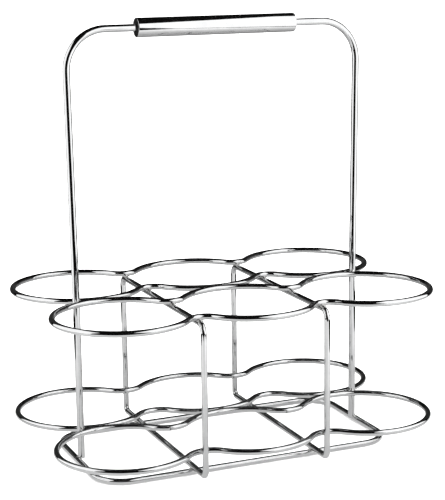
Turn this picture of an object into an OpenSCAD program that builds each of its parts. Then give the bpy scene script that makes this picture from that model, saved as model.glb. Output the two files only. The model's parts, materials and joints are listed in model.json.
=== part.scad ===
// Six-bottle wine carrier of bent and welded round wire, in millimetres.
// Two rows of three rings on two levels, two post frames, a base frame and a carrying handle.
// The frame stands on the plane z = 0, centred on the origin, with its rows running along X.

/* [Bottle rings] */
// Clear bore of each bottle ring
ring_bore = 90; // [86:1:94]
// Distance between neighbouring bottles of one row
bottle_pitch = 92.8; // [90:0.1:95]
// Bend radius of the notches between the upper rings, on the wire's centre line
upper_notch_r = 12; // [10:0.5:14]
// Height of the upper rings above the table
upper_ring_z = 117.5; // [100:0.5:140]
// Height of the lower rings above the table
lower_ring_z = 23.7; // [18:0.1:40]

/* [Wire] */
// Wire of the ring rows and of the post frames
ring_wire_d = 4.4; // [3:0.1:4.5]
// Wire of the base frame
base_wire_d = 4.5; // [4:0.1:5]
// Wire of the handle
handle_wire_d = 5.2; // [4.5:0.1:6]
// How far two welded wires sink into each other
weld_sink = 0.3; // [0.2:0.05:0.4]
// How far a leg sinks into the end rings on both sides of it
leg_sink = 0.05; // [0.02:0.01:0.3]

/* [Post frames] */
// Distance between the front and back posts, centre to centre
post_spacing = 162; // [158:0.5:164]
// Bend radius at the top of the posts, on the centre line
post_top_bend_r = 6.5; // [5:0.5:6.5]
// Bend radius at the foot of the posts, on the centre line
post_foot_bend_r = 4; // [3:0.5:6]

/* [Base frame] */
// Distance between the long sides of the base, centre to centre
base_spacing = 113; // [100:1:130]
// Distance between the short sides of the base, centre to centre
base_length = 224; // [222:0.5:226]
// Bend radius of the base corners, on the centre line
base_corner_r = 22.5; // [15:0.5:30]

/* [Handle] */
// Height of the handle bar above the table
handle_z = 307; // [280:1:330]
// Bend radius of the two upper corners, on the centre line
handle_bend_r = 28; // [20:1:35]
// Outward lean of the legs above the upper rings, in degrees
handle_lean = 0.6; // [0.5:0.1:3]
// Height above the upper rings where the lean starts
lean_start = 8; // [4:1:20]
// Height of the cut ends of the legs, which sit on the inner shoulder of the base wire
leg_end_z = 3.4; // [3:0.1:4]

/* [Grip] */
// Length of the grip tube
grip_length = 120; // [100:1:140]
// Outer diameter of the grip tube
grip_d = 13.5; // [12:0.5:16]
// Wall of the grip tube
grip_wall = 0.8; // [0.6:0.1:1.2]
// Length of each plastic bush inside the tube
bush_length = 12; // [8:1:20]
// Running clearance between a bush and the handle wire, on the radius
bush_clearance = 0.08; // [0.02:0.01:0.1]

/* [Hidden] */

// Wire radii
ring_wire_r = ring_wire_d / 2;
base_wire_r = base_wire_d / 2;
handle_wire_r = handle_wire_d / 2;

// Rings: centre-line radius, distance of a row from the middle, and the upper notch
ring_r = (ring_bore + ring_wire_d) / 2;
half_pitch = bottle_pitch / 2;
row_y = ring_r + ring_wire_r - weld_sink / 2;
function notch_height(notch_r) = sqrt((ring_r + notch_r) ^ 2 - half_pitch ^ 2);
upper_notch_depth = notch_height(upper_notch_r) - upper_notch_r;

// Posts: the lower notches reach out to the posts, which sets their bend radius
post_y = post_spacing / 2;
same_wire_step = ring_wire_d - weld_sink;
lower_notch_depth = post_y - same_wire_step - row_y;
lower_notch_r = (lower_notch_depth ^ 2 - ring_r ^ 2 + half_pitch ^ 2) / (2 * (ring_r - lower_notch_depth));

// Heights of the base and of the two crossbars of a post frame
base_z = base_wire_r;
lower_bar_z = base_wire_d + ring_wire_r - weld_sink;
upper_bar_z = upper_ring_z - same_wire_step;

// Legs: each stands in the gap between two end rings, against both
leg_reach = ring_r + ring_wire_r + handle_wire_r - leg_sink;
leg_from_ring = sqrt(leg_reach ^ 2 - row_y ^ 2);
leg_x = bottle_pitch + leg_from_ring;
base_x = base_length / 2;
base_y = base_spacing / 2;

// Handle: a slow bend starts the lean, a straight stretch follows, then the upper corner
lean_bend_r = 60;
lean_bend_z = upper_ring_z + lean_start;
lean_foot_x = leg_x + lean_bend_r * (1 - cos(handle_lean));
lean_foot_z = lean_bend_z + lean_bend_r * sin(handle_lean);
lean_top_z = handle_z - handle_bend_r * (1 + sin(handle_lean));
lean_top_x = lean_foot_x + (lean_top_z - lean_foot_z) * tan(handle_lean);
corner_x = lean_top_x - handle_bend_r * cos(handle_lean);
corner_z = handle_z - handle_bend_r;

// Grip: tube bore, bush length, and the pinched ears that keep the grip centred
grip_r = grip_d / 2;
grip_bore_r = grip_r - grip_wall;
rim_round = 0.4;
bush_inset = 0.4;
bush_chamfer = 0.6;
ear_gap = 0.4;
ear_length = 2.4;
ear_width = 7.6;
ear_thickness = 3.2;
ear_x = grip_length / 2 - bush_inset - bush_length - ear_gap - ear_length / 2;

// How far a joint ball stands proud of the wire
joint_proud = 0.01;

// Weld beads: radius of a bead, and half length of the longer row beads
bead_r = 1.6;
row_bead_r = 1.1;
row_bead_half = 2.6;

// Place of a foot bead, outwards from the leg's axis and up from its cut end
foot_bead_out = 1.5;
foot_bead_up = 0.3;

// A straight wire between two points of the XY plane
module run(from, to, r) {
    step = to - from;
    translate([from.x, from.y, 0])
        rotate([0, 90, atan2(step.y, step.x)])
            cylinder(r = r, h = norm(step));
}

// A bend of wire in the XY plane about a centre, from a start angle
module bend(centre, bend_r, start, sweep, r) {
    translate([centre.x, centre.y, 0])
        rotate([0, 0, start])
            rotate_extrude(angle = sweep)
                translate([bend_r, 0])
                    circle(r = r);
}

// A ball a hair wider than the wire, where two stretches of wire fuse, with its poles along the wire
module joint_ball(x, y, along, r) {
    translate([x, y, 0])
        rotate([0, 90, along])
            sphere(r = r + joint_proud);
}

// A bend with a joint ball at each end
module joining_bend(centre, bend_r, start, sweep, r) {
    bend(centre, bend_r, start, sweep, r);
    for (angle = [start, start + sweep])
        joint_ball(centre.x + bend_r * cos(angle), centre.y + bend_r * sin(angle), angle + 90, r);
}

// A closed rectangular frame of wire in the XY plane
module wire_frame(half_x, y0, y1, foot_r, top_r, r) {
    for (side = [-1, 1]) {
        joint_ball(side * (half_x - foot_r), y0, 0, r);
        joint_ball(side * half_x, y0 + foot_r, 90, r);
        joint_ball(side * half_x, y1 - top_r, 90, r);
        joint_ball(side * (half_x - top_r), y1, 0, r);
    }
    run([foot_r - half_x, y0], [half_x - foot_r, y0], r);
    run([half_x, y0 + foot_r], [half_x, y1 - top_r], r);
    run([half_x - top_r, y1], [top_r - half_x, y1], r);
    run([-half_x, y1 - top_r], [-half_x, y0 + foot_r], r);
    bend([foot_r - half_x, y0 + foot_r], foot_r, 180, 90, r);
    bend([half_x - foot_r, y0 + foot_r], foot_r, 270, 90, r);
    bend([half_x - top_r, y1 - top_r], top_r, 0, 90, r);
    bend([top_r - half_x, y1 - top_r], top_r, 90, 90, r);
}

// One row of three rings, bent from one closed wire, centred on the origin
module ring_row(notch_r) {
    height = notch_height(notch_r);
    lobe_angle = atan2(height, half_pitch);
    for (turn = [0, 180])
        rotate([0, 0, turn]) {
            for (side = [-1, 1])
                joining_bend([side * half_pitch, height], notch_r, 180 + lobe_angle, 180 - 2 * lobe_angle, ring_wire_r);
            bend([0, 0], ring_r, lobe_angle, 180 - 2 * lobe_angle, ring_wire_r);
            bend([bottle_pitch, 0], ring_r, lobe_angle - 180, 360 - 2 * lobe_angle, ring_wire_r);
        }
}

module upper_row(side) {
    translate([0, side * row_y, upper_ring_z])
        ring_row(upper_notch_r);
}

module lower_row(side) {
    translate([0, side * row_y, lower_ring_z])
        ring_row(lower_notch_r);
}

// A post frame stands across the rack: its plane is turned to YZ
module post_frame(side) {
    translate([side * half_pitch, 0, 0])
        rotate([90, 0, 90])
            wire_frame(post_y, lower_bar_z, upper_bar_z, post_foot_bend_r, post_top_bend_r, ring_wire_r);
}

module upper_back_row() {
    color("silver") upper_row(1);
}

module upper_front_row() {
    color("silver") upper_row(-1);
}

module lower_back_row() {
    color("silver") lower_row(1);
}

module lower_front_row() {
    color("silver") lower_row(-1);
}

module left_post_frame() {
    color("gainsboro") post_frame(-1);
}

module right_post_frame() {
    color("gainsboro") post_frame(1);
}

module base_frame() {
    color("silver")
        translate([0, 0, base_z])
            wire_frame(base_x, -base_y, base_y, base_corner_r, base_corner_r, base_wire_r);
}

// The handle in the XZ plane: the bar, then a corner, a leaning stretch and a leg on each side
module handle_wire() {
    for (turn = [0, 180])
        rotate([0, turn, 0]) {
            joining_bend([corner_x, corner_z], handle_bend_r, -handle_lean, 90 + handle_lean, handle_wire_r);
            joining_bend([leg_x + lean_bend_r, lean_bend_z], lean_bend_r, 180 - handle_lean, handle_lean, handle_wire_r);
            run([lean_top_x, lean_top_z], [lean_foot_x, lean_foot_z], handle_wire_r);
            run([leg_x, lean_bend_z], [leg_x, leg_end_z], handle_wire_r);
        }
    run([-corner_x, handle_z], [corner_x, handle_z], handle_wire_r);
}

// The ears are pinched out of the bar just inside the bushes, and keep the grip centred
module handle_hoop() {
    color("silver")
        rotate([90, 0, 0]) {
            handle_wire();
            for (side = [-1, 1])
                translate([side * ear_x, handle_z, 0])
                    cube([ear_length, ear_thickness, ear_width], center = true);
        }
}

// The grip tube, with its rims rounded off
module grip_tube() {
    rim_x = grip_length / 2;
    color("whitesmoke")
        translate([0, 0, handle_z])
            rotate([0, 90, 0])
                rotate_extrude()
                    polygon([
                        [grip_bore_r, -rim_x], [grip_r - rim_round, -rim_x], [grip_r, -rim_x + rim_round],
                        [grip_r, rim_x - rim_round], [grip_r - rim_round, rim_x], [grip_bore_r, rim_x]
                    ]);
}

// A bush closes one end of the tube and runs on the handle wire
module grip_bush(side) {
    bore_r = handle_wire_r + bush_clearance;
    face = grip_length / 2 - bush_inset;
    back = face - bush_length;
    color("#1a1a1a")
        translate([0, 0, handle_z])
            rotate([0, side * 90, 0])
                rotate_extrude()
                    polygon([
                        [bore_r, back], [grip_bore_r - bush_chamfer, back], [grip_bore_r, back + bush_chamfer],
                        [grip_bore_r, face], [bore_r + bush_chamfer, face], [bore_r, face - bush_chamfer]
                    ]);
}

module left_grip_bush() {
    grip_bush(-1);
}

module right_grip_bush() {
    grip_bush(1);
}

// Beads along the three lines where the back row and the front row touch, on both levels
module row_welds() {
    color("lightgray")
        for (x = [-bottle_pitch, 0, bottle_pitch], z = [lower_ring_z, upper_ring_z])
            translate([x, 0, z]) {
                translate([-row_bead_half, 0, 0]) sphere(r = row_bead_r);
                translate([row_bead_half, 0, 0]) sphere(r = row_bead_r);
                translate([-row_bead_half, 0, 0]) rotate([0, 90, 0]) cylinder(r = row_bead_r, h = 2 * row_bead_half);
            }
}

// Beads where the upper notches lie on the crossbars of the post frames
module crossbar_welds() {
    color("lightgray")
        for (x = [-half_pitch, half_pitch], row = [-row_y, row_y], notch = [-upper_notch_depth, upper_notch_depth])
            translate([x, row + notch, upper_bar_z + same_wire_step / 2])
                sphere(r = bead_r);
}

// Beads where the lower notches meet the posts
module post_welds() {
    color("lightgray")
        for (x = [-half_pitch, half_pitch], side = [-1, 1])
            translate([x, side * (post_y - same_wire_step / 2), lower_ring_z])
                sphere(r = bead_r);
}

// Beads where the legs pass between the end rings
module leg_welds() {
    share = (ring_r + ring_wire_r - leg_sink / 2) / leg_reach;
    color("lightgray")
        for (side_x = [-1, 1], side_y = [-1, 1], z = [lower_ring_z, upper_ring_z])
            translate([side_x * (bottle_pitch + share * leg_from_ring), side_y * row_y * (1 - share), z])
                sphere(r = bead_r);
}

// Beads where the legs stand on the short sides of the base
module leg_foot_welds() {
    color("lightgray")
        for (side = [-1, 1])
            translate([side * (leg_x + foot_bead_out), 0, leg_end_z + foot_bead_up])
                sphere(r = bead_r);
}

// Beads where the lower crossbars lie on the long sides of the base
module base_welds() {
    color("lightgray")
        for (x = [-half_pitch, half_pitch], y = [-base_y, base_y])
            translate([x, y, base_wire_d - weld_sink / 2])
                sphere(r = bead_r);
}

upper_back_row();
upper_front_row();
lower_back_row();
lower_front_row();
left_post_frame();
right_post_frame();
base_frame();
handle_hoop();
grip_tube();
left_grip_bush();
right_grip_bush();
row_welds();
crossbar_welds();
post_welds();
leg_welds();
leg_foot_welds();
base_welds();
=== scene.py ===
import json
import math

import bpy
import numpy as np
from mathutils import Matrix, Vector


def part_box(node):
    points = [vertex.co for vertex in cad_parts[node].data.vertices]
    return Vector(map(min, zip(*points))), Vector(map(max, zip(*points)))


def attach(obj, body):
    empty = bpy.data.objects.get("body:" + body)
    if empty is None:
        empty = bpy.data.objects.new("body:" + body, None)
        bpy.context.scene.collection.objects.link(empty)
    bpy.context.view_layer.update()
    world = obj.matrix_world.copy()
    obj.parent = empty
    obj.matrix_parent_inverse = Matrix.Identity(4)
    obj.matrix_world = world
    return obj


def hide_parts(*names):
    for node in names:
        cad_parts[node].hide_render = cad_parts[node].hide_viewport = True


# The looks of a six-bottle wine carrier of bent, welded and chromed wire, in metres.
# Each wire is a smooth tube along the centre line of its CAD node. The welds are fillets
# between the wires that they join. The grip is a drawn tube with a moulded bush in each end.

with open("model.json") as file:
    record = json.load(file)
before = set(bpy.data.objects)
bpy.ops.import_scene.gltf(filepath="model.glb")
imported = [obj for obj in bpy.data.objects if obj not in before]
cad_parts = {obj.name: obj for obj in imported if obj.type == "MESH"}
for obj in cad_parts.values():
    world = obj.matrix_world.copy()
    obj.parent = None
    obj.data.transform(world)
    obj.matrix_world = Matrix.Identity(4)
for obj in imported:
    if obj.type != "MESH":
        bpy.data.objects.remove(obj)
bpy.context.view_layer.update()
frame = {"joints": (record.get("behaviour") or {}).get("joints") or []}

MM = 0.001

# Bends and joints that no box shows, as on the CAD wires
UPPER_NOTCH_R = 12 * MM
POST_TOP_BEND_R = 6.5 * MM
POST_FOOT_BEND_R = 4 * MM
BASE_CORNER_R = 22.5 * MM
HANDLE_BEND_R = 28 * MM
HANDLE_LEAN = math.radians(0.6)
LEAN_BEND_R = 60 * MM
LEAN_START = 8 * MM
JOINT_PROUD = 0.01 * MM
WELD_SINK = 0.3 * MM
LEG_SINK = 0.05 * MM
BUSH_CLEARANCE = 0.08 * MM

# The pinched ears of the bar, inside the grip
EAR_GAP = 0.4 * MM
EAR_LENGTH = 2.4 * MM
EAR_HALF_WIDTH = 3.8 * MM
EAR_HALF_THICKNESS = 1.6 * MM
EAR_BLEND = 1.6 * MM

# How fine the meshes are
WIRE_SIDES = 24
WIRE_STEP = 1.5 * MM
BEND_STEP = math.radians(5)
LATHE_SIDES = 96
SHARP_ANGLE = math.radians(50)

# The fine shape of the wire: rounded cut ends, and a ground butt weld that closes each loop
END_ROUND = 0.5 * MM
END_SHARES = (0, 0.06, 0.2, 0.5, 1.0)
BUTT_SWELL = 0.05 * MM
BUTT_HALF_LENGTH = 1.2 * MM


def centre(node):
    low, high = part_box(node)
    return (low + high) / 2


def half_size(node):
    low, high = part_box(node)
    return (high - low) / 2


# Ring rows
row_half = half_size("upper_back_row")
ring_wire_r = row_half.z - JOINT_PROUD
ring_r = row_half.y - ring_wire_r
pitch = row_half.x - row_half.y
half_pitch = pitch / 2
row_y = centre("upper_back_row").y
upper_ring_z = centre("upper_back_row").z
lower_ring_z = centre("lower_back_row").z


def notch_height(notch_r):
    return math.sqrt((ring_r + notch_r) ** 2 - half_pitch ** 2)


# Post frames: the lower notches reach out to the posts, which sets their bend radius
post_half = half_size("right_post_frame")
post_y = post_half.y - ring_wire_r - JOINT_PROUD
lower_bar_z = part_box("right_post_frame")[0].z + ring_wire_r + JOINT_PROUD
upper_bar_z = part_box("right_post_frame")[1].z - ring_wire_r - JOINT_PROUD
same_wire_step = 2 * ring_wire_r - WELD_SINK
lower_notch_depth = post_y - same_wire_step - row_y
lower_notch_r = (
    (lower_notch_depth ** 2 - ring_r ** 2 + half_pitch ** 2) / (2 * (ring_r - lower_notch_depth))
)

# Base frame
base_half = half_size("base_frame")
base_wire_r = base_half.z - JOINT_PROUD
base_x = base_half.x - base_wire_r
base_y = base_half.y - base_wire_r
base_z = centre("base_frame").z

# Handle
handle_z = frame["joints"][0]["pos_m"][2]
handle_low, handle_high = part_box("handle_hoop")
handle_wire_r = handle_high.z - handle_z
leg_reach = ring_r + ring_wire_r + handle_wire_r - LEG_SINK
leg_from_ring = math.sqrt(leg_reach ** 2 - row_y ** 2)
leg_x = pitch + leg_from_ring
leg_end_z = handle_low.z
lean_bend_z = upper_ring_z + LEAN_START
lean_foot_x = leg_x + LEAN_BEND_R * (1 - math.cos(HANDLE_LEAN))
lean_foot_z = lean_bend_z + LEAN_BEND_R * math.sin(HANDLE_LEAN)
corner_z = handle_z - HANDLE_BEND_R
lean_top_z = corner_z - HANDLE_BEND_R * math.sin(HANDLE_LEAN)
lean_top_x = lean_foot_x + (lean_top_z - lean_foot_z) * math.tan(HANDLE_LEAN)
corner_x = lean_top_x - HANDLE_BEND_R * math.cos(HANDLE_LEAN)

# Grip
grip_half = half_size("grip_tube")
grip_r = grip_half.y
bush_half = half_size("right_grip_bush")
bush_x = centre("right_grip_bush").x
grip_bore_r = bush_half.y
bush_bore_r = handle_wire_r + BUSH_CLEARANCE
ear_x = bush_x - bush_half.x - EAR_GAP - EAR_LENGTH / 2


# ---------------------------------------------------------------- centre lines


def arc_points(arc):
    """Points along an arc of (centre, radius, start, sweep), without its last point."""
    middle, radius, start, sweep = arc
    steps = max(2, round(abs(sweep) / min(BEND_STEP, 2 * WIRE_STEP / radius)))
    angles = start + sweep * np.arange(steps) / steps
    return np.array(middle) + radius * np.column_stack([np.cos(angles), np.sin(angles)])


def arc_ends(arc):
    middle, radius, start, sweep = arc
    return [
        np.array(middle) + radius * np.array([math.cos(angle), math.sin(angle)])
        for angle in (start, start + sweep)
    ]


def straight_points(start, end):
    """Points along a straight stretch, without its last point. A gap too small to see has none."""
    length = np.linalg.norm(end - start)
    steps = round(length / WIRE_STEP)
    share = np.arange(steps)[:, None] / max(steps, 1)
    return start * (1 - share) + end * share


def closed_path(arcs):
    """The arcs in order, with a straight stretch from the end of each to the start of the next."""
    stretches = []
    for arc, following in zip(arcs, arcs[1:] + arcs[:1]):
        stretches.append(arc_points(arc))
        stretches.append(straight_points(arc_ends(arc)[1], arc_ends(following)[0]))
    return np.vstack(stretches)


def open_path(start, arcs, end):
    """As closed_path, from a start point to an end point, with close points where the ends round off."""
    stretches = [straight_points(start, arc_ends(arcs[0])[0])]
    for arc, following in zip(arcs, arcs[1:]):
        stretches.append(arc_points(arc))
        stretches.append(straight_points(arc_ends(arc)[1], arc_ends(following)[0]))
    stretches.append(arc_points(arcs[-1]))
    last = arc_ends(arcs[-1])[1]
    stretches.append(straight_points(last, end))
    body = np.vstack(stretches)[1:]
    close = END_ROUND * np.array(END_SHARES)[:, None]
    first_way = (body[0] - start) / np.linalg.norm(body[0] - start)
    last_way = (body[-1] - end) / np.linalg.norm(body[-1] - end)
    return np.vstack([start + first_way * close, body, (end + last_way * close)[::-1]])


def row_path(notch_r):
    """The closed centre line of a row: end ring, notch, middle ring and notch, twice."""
    height = notch_height(notch_r)
    lobe = math.atan2(height, half_pitch)
    turned = -(math.pi - 2 * lobe)
    half = [
        ((pitch, 0), ring_r, lobe - math.pi, 2 * (math.pi - lobe)),
        ((half_pitch, height), notch_r, -lobe, turned),
        ((0, 0), ring_r, lobe, -turned),
        ((-half_pitch, height), notch_r, -lobe, turned),
    ]
    other_half = [
        ((-x, -y), radius, start + math.pi, sweep) for (x, y), radius, start, sweep in half
    ]
    return closed_path(half + other_half)


def frame_path(half_width, low, high, foot_r, top_r):
    """The closed centre line of a rectangle of wire, one bend radius below and one above."""
    quarter = math.pi / 2
    return closed_path([
        ((half_width - foot_r, low + foot_r), foot_r, -quarter, quarter),
        ((half_width - top_r, high - top_r), top_r, 0, quarter),
        ((top_r - half_width, high - top_r), top_r, quarter, quarter),
        ((foot_r - half_width, low + foot_r), foot_r, 2 * quarter, quarter),
    ])


def handle_path():
    """The open centre line of the handle, from the right foot over the bar to the left foot."""
    quarter = math.pi / 2
    return open_path(
        np.array([leg_x, leg_end_z]),
        [
            ((leg_x + LEAN_BEND_R, lean_bend_z), LEAN_BEND_R, math.pi, -HANDLE_LEAN),
            ((corner_x, corner_z), HANDLE_BEND_R, -HANDLE_LEAN, quarter + HANDLE_LEAN),
            ((-corner_x, corner_z), HANDLE_BEND_R, quarter, quarter + HANDLE_LEAN),
            ((-leg_x - LEAN_BEND_R, lean_bend_z), LEAN_BEND_R, HANDLE_LEAN, -HANDLE_LEAN),
        ],
        np.array([-leg_x, leg_end_z]),
    )


def level(path, y, z):
    """A path of the XY plane, in space."""
    return np.column_stack([path[:, 0], path[:, 1] + y, np.full(len(path), z)])


def across(path, x):
    """A path that stands in the YZ plane, in space."""
    return np.column_stack([np.full(len(path), x), path])


def upright(path):
    """A path that stands in the XZ plane, in space."""
    return np.column_stack([path[:, 0], np.zeros(len(path)), path[:, 1]])


# ---------------------------------------------------------------- meshes


def new_piece(name, vertices, faces, body, node, material):
    """A smooth mesh piece that stands for one CAD node."""
    mesh = bpy.data.meshes.new(name)
    mesh.from_pydata([tuple(v) for v in vertices], [], faces)
    mesh.validate()
    mesh.shade_smooth()
    piece = bpy.data.objects.new(name, mesh)
    bpy.context.scene.collection.objects.link(piece)
    mesh.materials.append(material)
    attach(piece, body)
    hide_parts(node)
    return piece


def add_grain(piece, grain):
    """Stores, in millimetres, how far along the metal each vertex is, and where on its section."""
    attribute = piece.data.attributes.new("grain", "FLOAT_VECTOR", "POINT")
    attribute.data.foreach_set("vector", np.asarray(grain, np.float32).ravel())


def grid_faces(rings, sides, closed):
    """Quads between rings of vertices, round and round, with the two ends capped if not closed."""
    faces = []
    for ring in range(rings if closed else rings - 1):
        here = ring * sides
        there = (ring + 1) % rings * sides
        for side in range(sides):
            beside = (side + 1) % sides
            faces.append((here + side, there + side, there + beside, here + beside))
    if not closed:
        faces.append(tuple(range(sides)))
        faces.append(tuple(reversed(range((rings - 1) * sides, rings * sides))))
    return faces


def directions_along(points, closed):
    """Unit tangents of a path."""
    ahead = np.roll(points, -1, axis=0) - points
    behind = points - np.roll(points, 1, axis=0)
    if not closed:
        ahead[-1] = behind[-1]
        behind[0] = ahead[0]
    unit = ahead / np.linalg.norm(ahead, axis=1)[:, None]
    unit += behind / np.linalg.norm(behind, axis=1)[:, None]
    return unit / np.linalg.norm(unit, axis=1)[:, None]


def sweep_wire(points, normal, half_sizes, closed):
    """Vertices, faces and grain of a wire. half_sizes: of its section in the plane and out of it."""
    tangents = directions_along(points, closed)
    sideways = np.cross(tangents, normal)
    angles = 2 * math.pi * np.arange(WIRE_SIDES) / WIRE_SIDES
    in_plane = half_sizes[:, 0, None] * np.cos(angles)
    out_of_plane = half_sizes[:, 1, None] * np.sin(angles)
    vertices = (
        points[:, None, :]
        + in_plane[:, :, None] * sideways[:, None, :]
        + out_of_plane[:, :, None] * np.array(normal)
    )
    steps = np.linalg.norm(np.diff(points, axis=0), axis=1)
    along = np.concatenate([[0], np.cumsum(steps)])
    along = np.broadcast_to(along[:, None], in_plane.shape)
    grain = np.stack([along, in_plane, out_of_plane], axis=-1) / MM
    faces = grid_faces(len(points), WIRE_SIDES, closed)
    return vertices.reshape(-1, 3), faces, grain.reshape(-1, 3)


def loop_sizes(points, radius):
    """The section of a closed wire: round, and a little thicker at the butt weld where it starts."""
    steps = np.linalg.norm(np.diff(points, axis=0), axis=1)
    along = np.concatenate([[0], np.cumsum(steps)])
    from_weld = np.minimum(along, along[-1] - along)
    thickness = radius + BUTT_SWELL * np.exp(-((from_weld / BUTT_HALF_LENGTH) ** 2))
    return np.column_stack([thickness, thickness])


def handle_sizes(points):
    """The section of the handle: round, rounded off at the cut ends, pinched flat at the ears."""
    from_end = np.minimum(points[:, 2] - leg_end_z, END_ROUND) / END_ROUND
    rounding = END_ROUND * (1 - np.sqrt(1 - (1 - from_end) ** 2))
    from_ear = np.abs(np.abs(points[:, 0]) - ear_x) - EAR_LENGTH / 2
    pinch = np.clip(1 - from_ear / EAR_BLEND, 0, 1) * (points[:, 2] > corner_z)
    pinch = pinch * pinch * (3 - 2 * pinch)
    thin = handle_wire_r - rounding + pinch * (EAR_HALF_THICKNESS - handle_wire_r)
    wide = handle_wire_r - rounding + pinch * (EAR_HALF_WIDTH - handle_wire_r)
    return np.column_stack([thin, wide])


def wire_loop(name, points, normal, radius, node):
    """A closed wire of the rack."""
    vertices, faces, grain = sweep_wire(points, normal, loop_sizes(points, radius), closed=True)
    piece = new_piece(name, vertices, faces, "rack", node, chrome_wire)
    add_grain(piece, grain)
    return piece


def softened(corners, steps=5):
    """A closed outline of (radius, x, cut) corners, each rounded off over its own cut."""
    outline = []
    for index, (radius, x, cut) in enumerate(corners):
        here = np.array([radius, x])
        if not cut:
            outline.append(here)
            continue
        ends = []
        for other in (corners[index - 1], corners[(index + 1) % len(corners)]):
            way = np.array(other[:2]) - here
            ends.append(here + way / np.linalg.norm(way) * cut)
        for share in np.linspace(0, 1, steps):
            outline.append(
                (1 - share) ** 2 * ends[0] + 2 * share * (1 - share) * here + share ** 2 * ends[1]
            )
    return np.array(outline)


def lathe(name, outline, node, material):
    """A turned piece of the grip. Its closed outline of (radius, x) goes round the bar."""
    angles = 2 * math.pi * np.arange(LATHE_SIDES) / LATHE_SIDES
    radii = outline[:, 0, None]
    along = np.broadcast_to(outline[:, 1, None], (len(outline), LATHE_SIDES))
    section = np.stack([along, radii * np.cos(angles), radii * np.sin(angles)], axis=-1)
    vertices = section + np.array([0, 0, handle_z])
    faces = grid_faces(len(outline), LATHE_SIDES, closed=True)
    piece = new_piece(name, vertices.reshape(-1, 3), faces, "grip", node, material)
    add_grain(piece, section.reshape(-1, 3) / MM)
    piece.data.set_sharp_from_angle(angle=SHARP_ANGLE)
    return piece


# ---------------------------------------------------------------- welds


def line_gap(origin, direction, radius):
    """How far points are outside a straight wire."""
    def gap(points):
        offset = points - np.array(origin)
        beside = offset - (offset @ np.array(direction))[..., None] * np.array(direction)
        return np.linalg.norm(beside, axis=-1) - radius
    return gap


def leg_gap(side):
    """How far points are outside a leg, which ends in a rounded cut on the base wire."""
    straight = line_gap((side * leg_x, 0, 0), (0, 0, 1), handle_wire_r)
    return lambda points: np.maximum(straight(points), leg_end_z + END_ROUND - points[..., 2])


def bend_gap(middle, bend_r, radius):
    """How far points are outside a wire that is bent round a level circle."""
    def gap(points):
        offset = points - np.array(middle)
        flat = np.hypot(offset[..., 0], offset[..., 1]) - bend_r
        return np.hypot(flat, offset[..., 2]) - radius
    return gap


# The fillets: how far they run out, how wide they blend, and how fine they are
FILLET_REACH = 3.4 * MM
FILLET_BLEND = 2.2 * MM
FILLET_SKIN = 0.02 * MM
FILLET_SIDES = 40
FILLET_RINGS = 24
FILLET_SAMPLES = 60

# Ripples in the fillets: their depth, their waves along each axis, and the shift from weld to weld
RIPPLE = 0.22
RIPPLE_WAVES = (5.0, 3.7, 4.3)
RIPPLE_SHIFT = 1.7

# Place of a foot weld, outwards from the leg's axis and up from its cut end
FOOT_WELD_OUT = 1.5 * MM
FOOT_WELD_UP = 0.3 * MM


def fillet(contact, wire, other_wire, number):
    """Vertices and faces of the weld metal round one contact of two wires.

    From the contact, rays run out to where the smooth union of both wires ends. The blend
    fades out at the fillet's reach, so the weld runs out on the wires. Ripples make it uneven.
    """
    around = 2 * math.pi * np.arange(FILLET_SIDES) / FILLET_SIDES
    tilt = math.pi * np.arange(1, FILLET_RINGS) / FILLET_RINGS
    rays = np.stack([
        np.sin(tilt)[:, None] * np.cos(around),
        np.sin(tilt)[:, None] * np.sin(around),
        np.broadcast_to(np.cos(tilt)[:, None], (len(tilt), len(around))),
    ], axis=-1).reshape(-1, 3)
    rays = np.vstack([[0, 0, 1], rays, [0, 0, -1]])
    ripple = 1 + RIPPLE * np.sin(rays @ np.array(RIPPLE_WAVES) + RIPPLE_SHIFT * number)
    share = np.linspace(0, 1, FILLET_SAMPLES)[:, None]
    points = np.array(contact) + FILLET_REACH * share[..., None] * rays
    gap, other_gap = wire(points), other_wire(points)
    blend = np.maximum(FILLET_BLEND * (1 - share ** 2) * ripple, FILLET_SKIN)
    mix = np.clip(0.5 + 0.5 * (other_gap - gap) / blend, 0, 1)
    union = other_gap * (1 - mix) + gap * mix - blend * mix * (1 - mix) + FILLET_SKIN
    outside = union > 0
    outside[-1] = True
    last = outside.argmax(axis=0)
    columns = np.arange(len(rays))
    before, after = union[last - 1, columns], union[last, columns]
    step = np.clip(-before / np.maximum(after - before, 1e-9), 0, 1)
    reach = FILLET_REACH * (last - 1 + step) / (len(share) - 1)
    vertices = np.array(contact) + reach[:, None] * rays
    faces = []
    last_ring = 1 + (FILLET_RINGS - 2) * FILLET_SIDES
    for side in range(FILLET_SIDES):
        beside = (side + 1) % FILLET_SIDES
        faces.append((0, 1 + side, 1 + beside))
        faces.append((len(rays) - 1, last_ring + beside, last_ring + side))
        for ring in range(FILLET_RINGS - 2):
            here = 1 + ring * FILLET_SIDES
            there = here + FILLET_SIDES
            faces.append((here + side, there + side, there + beside, here + beside))
    return vertices, faces


def weld_piece(name, contacts, node):
    """All fillets of one CAD node, as one piece."""
    vertices, faces = [], []
    for number, (contact, wire, other_wire) in enumerate(contacts):
        more, more_faces = fillet(contact, wire, other_wire, number)
        faces += [tuple(index + len(vertices) for index in face) for face in more_faces]
        vertices += list(more)
    return new_piece(name, vertices, faces, "rack", node, weld_metal)


def row_contacts():
    return [
        (
            (x, 0, z),
            bend_gap((x, row_y, z), ring_r, ring_wire_r),
            bend_gap((x, -row_y, z), ring_r, ring_wire_r),
        )
        for z in (lower_ring_z, upper_ring_z)
        for x in (-pitch, 0, pitch)
    ]


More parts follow.
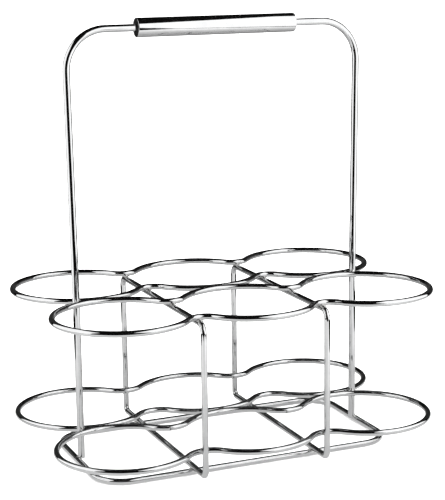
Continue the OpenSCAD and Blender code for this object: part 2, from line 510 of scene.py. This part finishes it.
def crossbar_contacts():
    height = notch_height(UPPER_NOTCH_R)
    return [
        (
            (x, row + side * (height - UPPER_NOTCH_R), (upper_ring_z + upper_bar_z) / 2),
            bend_gap((x, row + side * height, upper_ring_z), UPPER_NOTCH_R, ring_wire_r),
            line_gap((x, 0, upper_bar_z), (0, 1, 0), ring_wire_r),
        )
        for x in (-half_pitch, half_pitch)
        for row in (-row_y, row_y)
        for side in (-1, 1)
    ]


def post_contacts():
    height = row_y + notch_height(lower_notch_r)
    return [
        (
            (x, side * (post_y - same_wire_step / 2), lower_ring_z),
            bend_gap((x, side * height, lower_ring_z), lower_notch_r, ring_wire_r),
            line_gap((x, side * post_y, 0), (0, 0, 1), ring_wire_r),
        )
        for x in (-half_pitch, half_pitch)
        for side in (-1, 1)
    ]


def leg_contacts():
    share = (ring_r + ring_wire_r - LEG_SINK / 2) / leg_reach
    return [
        (
            (side * (pitch + share * leg_from_ring), row * (1 - share), z),
            bend_gap((side * pitch, row, z), ring_r, ring_wire_r),
            leg_gap(side),
        )
        for side in (-1, 1)
        for row in (-row_y, row_y)
        for z in (lower_ring_z, upper_ring_z)
    ]


def leg_foot_contacts():
    return [
        (
            (side * (leg_x + FOOT_WELD_OUT), 0, leg_end_z + FOOT_WELD_UP),
            leg_gap(side),
            line_gap((side * base_x, 0, base_z), (0, 1, 0), base_wire_r),
        )
        for side in (-1, 1)
    ]


def base_contacts():
    return [
        (
            (x, y, base_z + base_wire_r - WELD_SINK / 2),
            line_gap((x, 0, lower_bar_z), (0, 1, 0), ring_wire_r),
            line_gap((0, y, base_z), (1, 0, 0), base_wire_r),
        )
        for x in (-half_pitch, half_pitch)
        for y in (-base_y, base_y)
    ]


# ---------------------------------------------------------------- materials


def start_material(name):
    material = bpy.data.materials.new(name)
    material.use_nodes = True
    tree = material.node_tree
    return material, tree, tree.nodes["Principled BSDF"]


def noise(tree, coordinates, scale, detail=3.0, roughness=0.5):
    """A noise texture on the given coordinates."""
    node = tree.nodes.new("ShaderNodeTexNoise")
    node.inputs["Scale"].default_value = scale
    node.inputs["Detail"].default_value = detail
    node.inputs["Roughness"].default_value = roughness
    tree.links.new(coordinates, node.inputs["Vector"])
    return node.outputs["Fac"]


def stretched(tree, coordinates, scale):
    """Coordinates scaled by a different amount on each axis."""
    node = tree.nodes.new("ShaderNodeMapping")
    node.inputs["Scale"].default_value = scale
    tree.links.new(coordinates, node.inputs["Vector"])
    return node.outputs["Vector"]


def ranged(tree, value, low, high, from_low=0.3, from_high=0.7):
    """A value brought into another range."""
    node = tree.nodes.new("ShaderNodeMapRange")
    node.inputs["From Min"].default_value = from_low
    node.inputs["From Max"].default_value = from_high
    node.inputs["To Min"].default_value = low
    node.inputs["To Max"].default_value = high
    tree.links.new(value, node.inputs["Value"])
    return node.outputs["Result"]


def between(tree, value, dark, light):
    """A colour ramp from one colour to another."""
    node = tree.nodes.new("ShaderNodeValToRGB")
    node.color_ramp.elements[0].position = 0.3
    node.color_ramp.elements[0].color = (*dark, 1)
    node.color_ramp.elements[1].position = 0.7
    node.color_ramp.elements[1].color = (*light, 1)
    tree.links.new(value, node.inputs["Fac"])
    return node.outputs["Color"]


def bump(tree, height, strength, distance, normal=None):
    """A bump of the given height, on top of another bump's normal if there is one."""
    node = tree.nodes.new("ShaderNodeBump")
    node.inputs["Strength"].default_value = strength
    node.inputs["Distance"].default_value = distance
    tree.links.new(height, node.inputs["Height"])
    if normal:
        tree.links.new(normal, node.inputs["Normal"])
    return node.outputs["Normal"]


def object_place(tree):
    return tree.nodes.new("ShaderNodeTexCoord").outputs["Object"]


def grain_place(tree):
    node = tree.nodes.new("ShaderNodeAttribute")
    node.attribute_name = "grain"
    return node.outputs["Vector"]


def drawn_chrome(name, dark, light, gloss, lines, waves):
    """Chrome plate on drawn metal: lines along it, hazy patches and long shallow waves."""
    material, tree, shader = start_material(name)
    place = object_place(tree)
    streaks = noise(tree, stretched(tree, grain_place(tree), (0.03, 2.5, 2.5)), 1.0, 4.0, 0.6)
    haze = noise(tree, place, 90.0, 4.0, 0.6)
    waviness = noise(tree, place, 60.0, 1.0)
    shader.inputs["Metallic"].default_value = 1.0
    tree.links.new(between(tree, haze, dark, light), shader.inputs["Base Color"])
    tree.links.new(ranged(tree, haze, *gloss), shader.inputs["Roughness"])
    normal = bump(tree, waviness, waves, 0.2 * MM)
    normal = bump(tree, streaks, lines, 0.01 * MM, normal)
    tree.links.new(normal, shader.inputs["Normal"])
    return material


def rough_weld(name):
    """Chrome plate over weld metal: duller than the wire, with fine lumps."""
    material, tree, shader = start_material(name)
    place = object_place(tree)
    lumps = noise(tree, place, 900.0, 3.0, 0.6)
    patches = noise(tree, place, 260.0, 3.0, 0.6)
    shader.inputs["Metallic"].default_value = 1.0
    colour = between(tree, patches, (0.42, 0.41, 0.4), (0.62, 0.62, 0.61))
    tree.links.new(colour, shader.inputs["Base Color"])
    tree.links.new(ranged(tree, patches, 0.14, 0.34), shader.inputs["Roughness"])
    tree.links.new(bump(tree, lumps, 0.5, 0.15 * MM), shader.inputs["Normal"])
    return material


def moulded_plastic(name):
    """Black plastic with the fine texture of its mould and slightly uneven gloss."""
    material, tree, shader = start_material(name)
    place = object_place(tree)
    texture = noise(tree, place, 2600.0, 2.0)
    patches = noise(tree, place, 160.0, 3.0)
    colour = between(tree, patches, (0.004, 0.004, 0.004), (0.01, 0.01, 0.0105))
    tree.links.new(colour, shader.inputs["Base Color"])
    tree.links.new(ranged(tree, patches, 0.4, 0.55), shader.inputs["Roughness"])
    shader.inputs["Specular IOR Level"].default_value = 0.2
    tree.links.new(bump(tree, texture, 0.35, 0.05 * MM), shader.inputs["Normal"])
    return material


chrome_wire = drawn_chrome(
    "chrome_wire", (0.62, 0.625, 0.63), (0.7, 0.703, 0.705), (0.015, 0.045), lines=0.25, waves=0.15
)
polished_tube = drawn_chrome(
    "polished_tube", (0.64, 0.643, 0.645), (0.72, 0.722, 0.724), (0.03, 0.07), lines=0.35, waves=0.04
)
weld_metal = rough_weld("weld_metal")
black_plastic = moulded_plastic("black_plastic")


# ---------------------------------------------------------------- pieces

LEVEL_NORMAL = (0, 0, 1)
ACROSS_NORMAL = (1, 0, 0)
UPRIGHT_NORMAL = (0, -1, 0)


def build_rows():
    upper, lower = row_path(UPPER_NOTCH_R), row_path(lower_notch_r)
    for part, path, z in (("upper", upper, upper_ring_z), ("lower", lower, lower_ring_z)):
        for place, y in (("back", row_y), ("front", -row_y)):
            node = f"{part}_{place}_row"
            wire_loop(node + "_wire", level(path, y, z), LEVEL_NORMAL, ring_wire_r, node)


def build_post_frames():
    path = frame_path(post_y, lower_bar_z, upper_bar_z, POST_FOOT_BEND_R, POST_TOP_BEND_R)
    for place, x in (("left", -half_pitch), ("right", half_pitch)):
        node = f"{place}_post_frame"
        wire_loop(node + "_wire", across(path, x), ACROSS_NORMAL, ring_wire_r, node)


def build_base():
    path = frame_path(base_x, -base_y, base_y, BASE_CORNER_R, BASE_CORNER_R)
    wire_loop("base_frame_wire", level(path, 0, base_z), LEVEL_NORMAL, base_wire_r, "base_frame")


def build_handle():
    points = upright(handle_path())
    vertices, faces, grain = sweep_wire(points, UPRIGHT_NORMAL, handle_sizes(points), closed=False)
    piece = new_piece(
        "handle_hoop_wire", vertices, faces, "rack", "handle_hoop", chrome_wire
    )
    add_grain(piece, grain)


def build_grip_tube():
    rim_x = grip_half.x
    outer_cut, inner_cut = 0.45 * MM, 0.2 * MM
    outline = softened([
        (grip_bore_r, -rim_x, inner_cut),
        (grip_r, -rim_x, outer_cut),
        (grip_r, rim_x, outer_cut),
        (grip_bore_r, rim_x, inner_cut),
    ])
    lathe("grip_tube_shell", outline, "grip_tube", polished_tube)


def build_bush(place, side):
    """A bush with a rounded rim, a moulded groove in its face and a countersunk bore."""
    face = bush_x + bush_half.x
    back = bush_x - bush_half.x
    groove_inner, groove_outer, groove_depth = 3.9 * MM, 4.9 * MM, 0.35 * MM
    sink = 0.6 * MM
    rim_cut, edge_cut = 0.25 * MM, 0.1 * MM
    corners = [
        (bush_bore_r, back, 0),
        (grip_bore_r - sink, back, 0),
        (grip_bore_r, back + sink, 0),
        (grip_bore_r, face, rim_cut),
        (groove_outer, face, edge_cut),
        (groove_outer, face - groove_depth, edge_cut),
        (groove_inner, face - groove_depth, edge_cut),
        (groove_inner, face, edge_cut),
        (bush_bore_r + sink / 2, face, edge_cut),
        (bush_bore_r, face - sink, 0),
    ]
    if side < 0:
        corners = [(radius, -x, cut) for radius, x, cut in reversed(corners)]
    node = f"{place}_grip_bush"
    lathe(node + "_plug", softened(corners), node, black_plastic)


def build_welds():
    weld_piece("row_weld_fillets", row_contacts(), "row_welds")
    weld_piece("crossbar_weld_fillets", crossbar_contacts(), "crossbar_welds")
    weld_piece("post_weld_fillets", post_contacts(), "post_welds")
    weld_piece("leg_weld_fillets", leg_contacts(), "leg_welds")
    weld_piece("leg_foot_weld_fillets", leg_foot_contacts(), "leg_foot_welds")
    weld_piece("base_weld_fillets", base_contacts(), "base_welds")


# ---------------------------------------------------------------- studio


def stage_piece(name, vertices, faces, material):
    mesh = bpy.data.meshes.new(name)
    mesh.from_pydata(vertices, [], faces)
    mesh.materials.append(material)
    piece = bpy.data.objects.new(name, mesh)
    bpy.context.scene.collection.objects.link(piece)
    return piece


def rectangle(x_low, x_high, y_low, y_high, z):
    return [(x_low, y_low, z), (x_high, y_low, z), (x_high, y_high, z), (x_low, y_high, z)]


FLOOR_HALF = 40
FLOOR_GREY = 0.94


def build_floor():
    """The floor that is seen and that takes the shadows. The metal reflects the table instead."""
    material, tree, shader = start_material("pale_floor")
    shader.inputs["Base Color"].default_value = (FLOOR_GREY, FLOOR_GREY, FLOOR_GREY, 1)
    shader.inputs["Roughness"].default_value = 0.9
    shader.inputs["Specular IOR Level"].default_value = 0.1
    corners = rectangle(-FLOOR_HALF, FLOOR_HALF, -FLOOR_HALF, FLOOR_HALF, 0)
    floor = stage_piece("floor", corners, [(0, 1, 2, 3)], material)
    floor.visible_glossy = False


def glow(name):
    """A material that only gives light, and its emission node."""
    material = bpy.data.materials.new(name)
    material.use_nodes = True
    tree = material.node_tree
    tree.nodes.clear()
    emission = tree.nodes.new("ShaderNodeEmission")
    output = tree.nodes.new("ShaderNodeOutputMaterial")
    tree.links.new(emission.outputs["Emission"], output.inputs["Surface"])
    return material, tree, emission


def only_reflected(piece):
    piece.visible_camera = False
    piece.visible_diffuse = False
    piece.visible_shadow = False


# Lit panels stand left and right of the object, along the view, and dimmer ones stand behind them.
# A table lies between them, with its light and shade painted into its glow. Only reflections show any of
# this.
# In this frame X runs to the right across the view, and -Y runs towards the camera.
STUDIO_TURN = math.radians(-23)
PANEL_BESIDE = 0.37
PANEL_FOOT = 0.04
LEFT_PANEL = {"near": (-0.4, -0.5), "far": 0.106, "top": 0.62, "glow_level": 1.4}
RIGHT_PANEL = {"near": (-0.46, -1.1), "far": 0.106, "top": 0.92, "glow_level": 1.5}
REAR_PANEL = {"near": (0.19, 0.19), "far": 0.75, "top": 0.5, "glow_level": 0.03}
TABLE_FRONT = -0.47
TABLE_BACK = 1.3
# Painted light of the table's glow: its levels across between the panels, dim behind and bright ahead
TABLE_ACROSS = ((0.0, 0.85), (0.5, 0.6), (0.7, 0.7), (1.0, 1.1))
TABLE_BEHIND = (0.6, 0.1)
TABLE_AHEAD = (-0.3, 1.5)


def grey_ramp(tree, value, stops):
    """A grey that follows a value from 0 to 1 through the given (position, level) stops."""
    node = tree.nodes.new("ShaderNodeValToRGB")
    elements = node.color_ramp.elements
    while len(elements) < len(stops):
        elements.new(0.5)
    for element, (position, level_here) in zip(elements, stops):
        element.position = position
        element.color = (level_here, level_here, level_here, 1)
    tree.links.new(value, node.inputs["Fac"])
    return node.outputs["Color"]


def build_table():
    """The table, its light and shade painted into its glow: brightest at the front and by the panels,
    and dim behind.
    """
    material, tree, emission = glow("lit_table")
    axes = tree.nodes.new("ShaderNodeSeparateXYZ")
    tree.links.new(object_place(tree), axes.inputs["Vector"])
    beside = ranged(tree, axes.outputs["X"], 0, 1, -PANEL_BESIDE, PANEL_BESIDE)
    tree.links.new(grey_ramp(tree, beside, TABLE_ACROSS), emission.inputs["Color"])
    (behind, dim), (ahead, bright) = TABLE_BEHIND, TABLE_AHEAD
    tree.links.new(
        ranged(tree, axes.outputs["Y"], bright, dim, ahead, behind), emission.inputs["Strength"]
    )
    corners = rectangle(-PANEL_BESIDE, PANEL_BESIDE, TABLE_FRONT, TABLE_BACK, 0)
    table = stage_piece("lit_table", corners, [(0, 1, 2, 3)], material)
    table.rotation_euler.z = STUDIO_TURN
    only_reflected(table)


def build_panel(name, beside, near, far, top, glow_level):
    material, tree, emission = glow(name)
    emission.inputs["Strength"].default_value = glow_level
    corners = [
        (beside, near[0], PANEL_FOOT),
        (beside, far, PANEL_FOOT),
        (beside, far, top),
        (beside, near[1], top),
    ]
    panel = stage_piece(name, corners, [(0, 1, 2, 3)], material)
    panel.rotation_euler.z = STUDIO_TURN
    only_reflected(panel)


# The room: bright for the floor and the plastic, but dark in reflections, with a dim wall low behind
ROOM_LEVEL = 2.4
WALL_DIRECTION = Vector((0.35, 0.9, -0.6)).normalized()
WALL_FROM = 0.55
WALL_TO = 0.75
WALL_LEVEL = 0.05
DARK_LEVEL = 0.004


def build_room():
    world = bpy.data.worlds.new("studio")
    world.use_nodes = True
    tree = world.node_tree
    background = tree.nodes["Background"]
    background.inputs["Color"].default_value = (1, 1, 1, 1)
    direction = tree.nodes.new("ShaderNodeTexCoord").outputs["Generated"]
    facing = tree.nodes.new("ShaderNodeVectorMath")
    facing.operation = "DOT_PRODUCT"
    facing.inputs[1].default_value = WALL_DIRECTION
    tree.links.new(direction, facing.inputs[0])
    level_here = ranged(tree, facing.outputs["Value"], DARK_LEVEL, WALL_LEVEL, WALL_FROM, WALL_TO)
    choose = tree.nodes.new("ShaderNodeMix")
    choose.inputs["A"].default_value = ROOM_LEVEL
    path = tree.nodes.new("ShaderNodeLightPath")
    tree.links.new(path.outputs["Is Glossy Ray"], choose.inputs["Factor"])
    tree.links.new(level_here, choose.inputs["B"])
    tree.links.new(choose.outputs["Result"], background.inputs["Strength"])
    bpy.context.scene.world = world


KEY_PLACE = (0.9, -0.9, 1.2)
KEY_AIM = (0, 0, 0.1)
KEY_SIZE = 0.8
KEY_POWER = 14


def soft_box(name, place, aim, size, power):
    data = bpy.data.lights.new(name, "AREA")
    data.shape = "SQUARE"
    data.size = size
    data.energy = power
    light = bpy.data.objects.new(name, data)
    light.location = place
    light.rotation_mode = "QUATERNION"
    light.rotation_quaternion = (Vector(aim) - Vector(place)).to_track_quat("-Z", "Y")
    bpy.context.scene.collection.objects.link(light)


CAMERA_AZIMUTH = math.radians(-23.08)
CAMERA_ELEVATION = math.radians(11.76)
CAMERA_ROLL = math.radians(-0.74)
CAMERA_DISTANCE = 1.0545
CAMERA_LENS_MM = 104.6
CAMERA_SENSOR_MM = 36
AIM_HEIGHT = 0.1452
AIM_BESIDE = 0.0024


def build_camera():
    """The camera, from the front left and a little above, rolled by less than a degree."""
    beside = Vector((math.cos(CAMERA_AZIMUTH), math.sin(CAMERA_AZIMUTH), 0))
    flat = math.cos(CAMERA_ELEVATION)
    back = Vector((
        math.sin(CAMERA_AZIMUTH) * flat, -math.cos(CAMERA_AZIMUTH) * flat, math.sin(CAMERA_ELEVATION)
    ))
    above = back.cross(beside)
    right = beside * math.cos(CAMERA_ROLL) + above * math.sin(CAMERA_ROLL)
    up = above * math.cos(CAMERA_ROLL) - beside * math.sin(CAMERA_ROLL)
    data = bpy.data.cameras.new("camera")
    data.lens = CAMERA_LENS_MM
    data.sensor_width = CAMERA_SENSOR_MM
    data.clip_start = 0.01
    camera = bpy.data.objects.new("camera", data)
    turn = Matrix((right, up, back)).transposed().to_4x4()
    aim = beside * AIM_BESIDE + Vector((0, 0, AIM_HEIGHT))
    camera.matrix_world = Matrix.Translation(aim + back * CAMERA_DISTANCE) @ turn
    bpy.context.scene.collection.objects.link(camera)
    bpy.context.scene.camera = camera


build_rows()
build_post_frames()
build_base()
build_handle()
build_grip_tube()
build_bush("left", -1)
build_bush("right", 1)
build_welds()
build_floor()
build_table()
build_panel("left_panel", -PANEL_BESIDE, **LEFT_PANEL)
build_panel("right_panel", PANEL_BESIDE, **RIGHT_PANEL)
build_panel("rear_left_panel", -PANEL_BESIDE, **REAR_PANEL)
build_panel("rear_right_panel", PANEL_BESIDE, **REAR_PANEL)
build_room()
soft_box("key_light", KEY_PLACE, KEY_AIM, KEY_SIZE, KEY_POWER)
build_camera()
bpy.context.scene.view_settings.view_transform = "Standard"
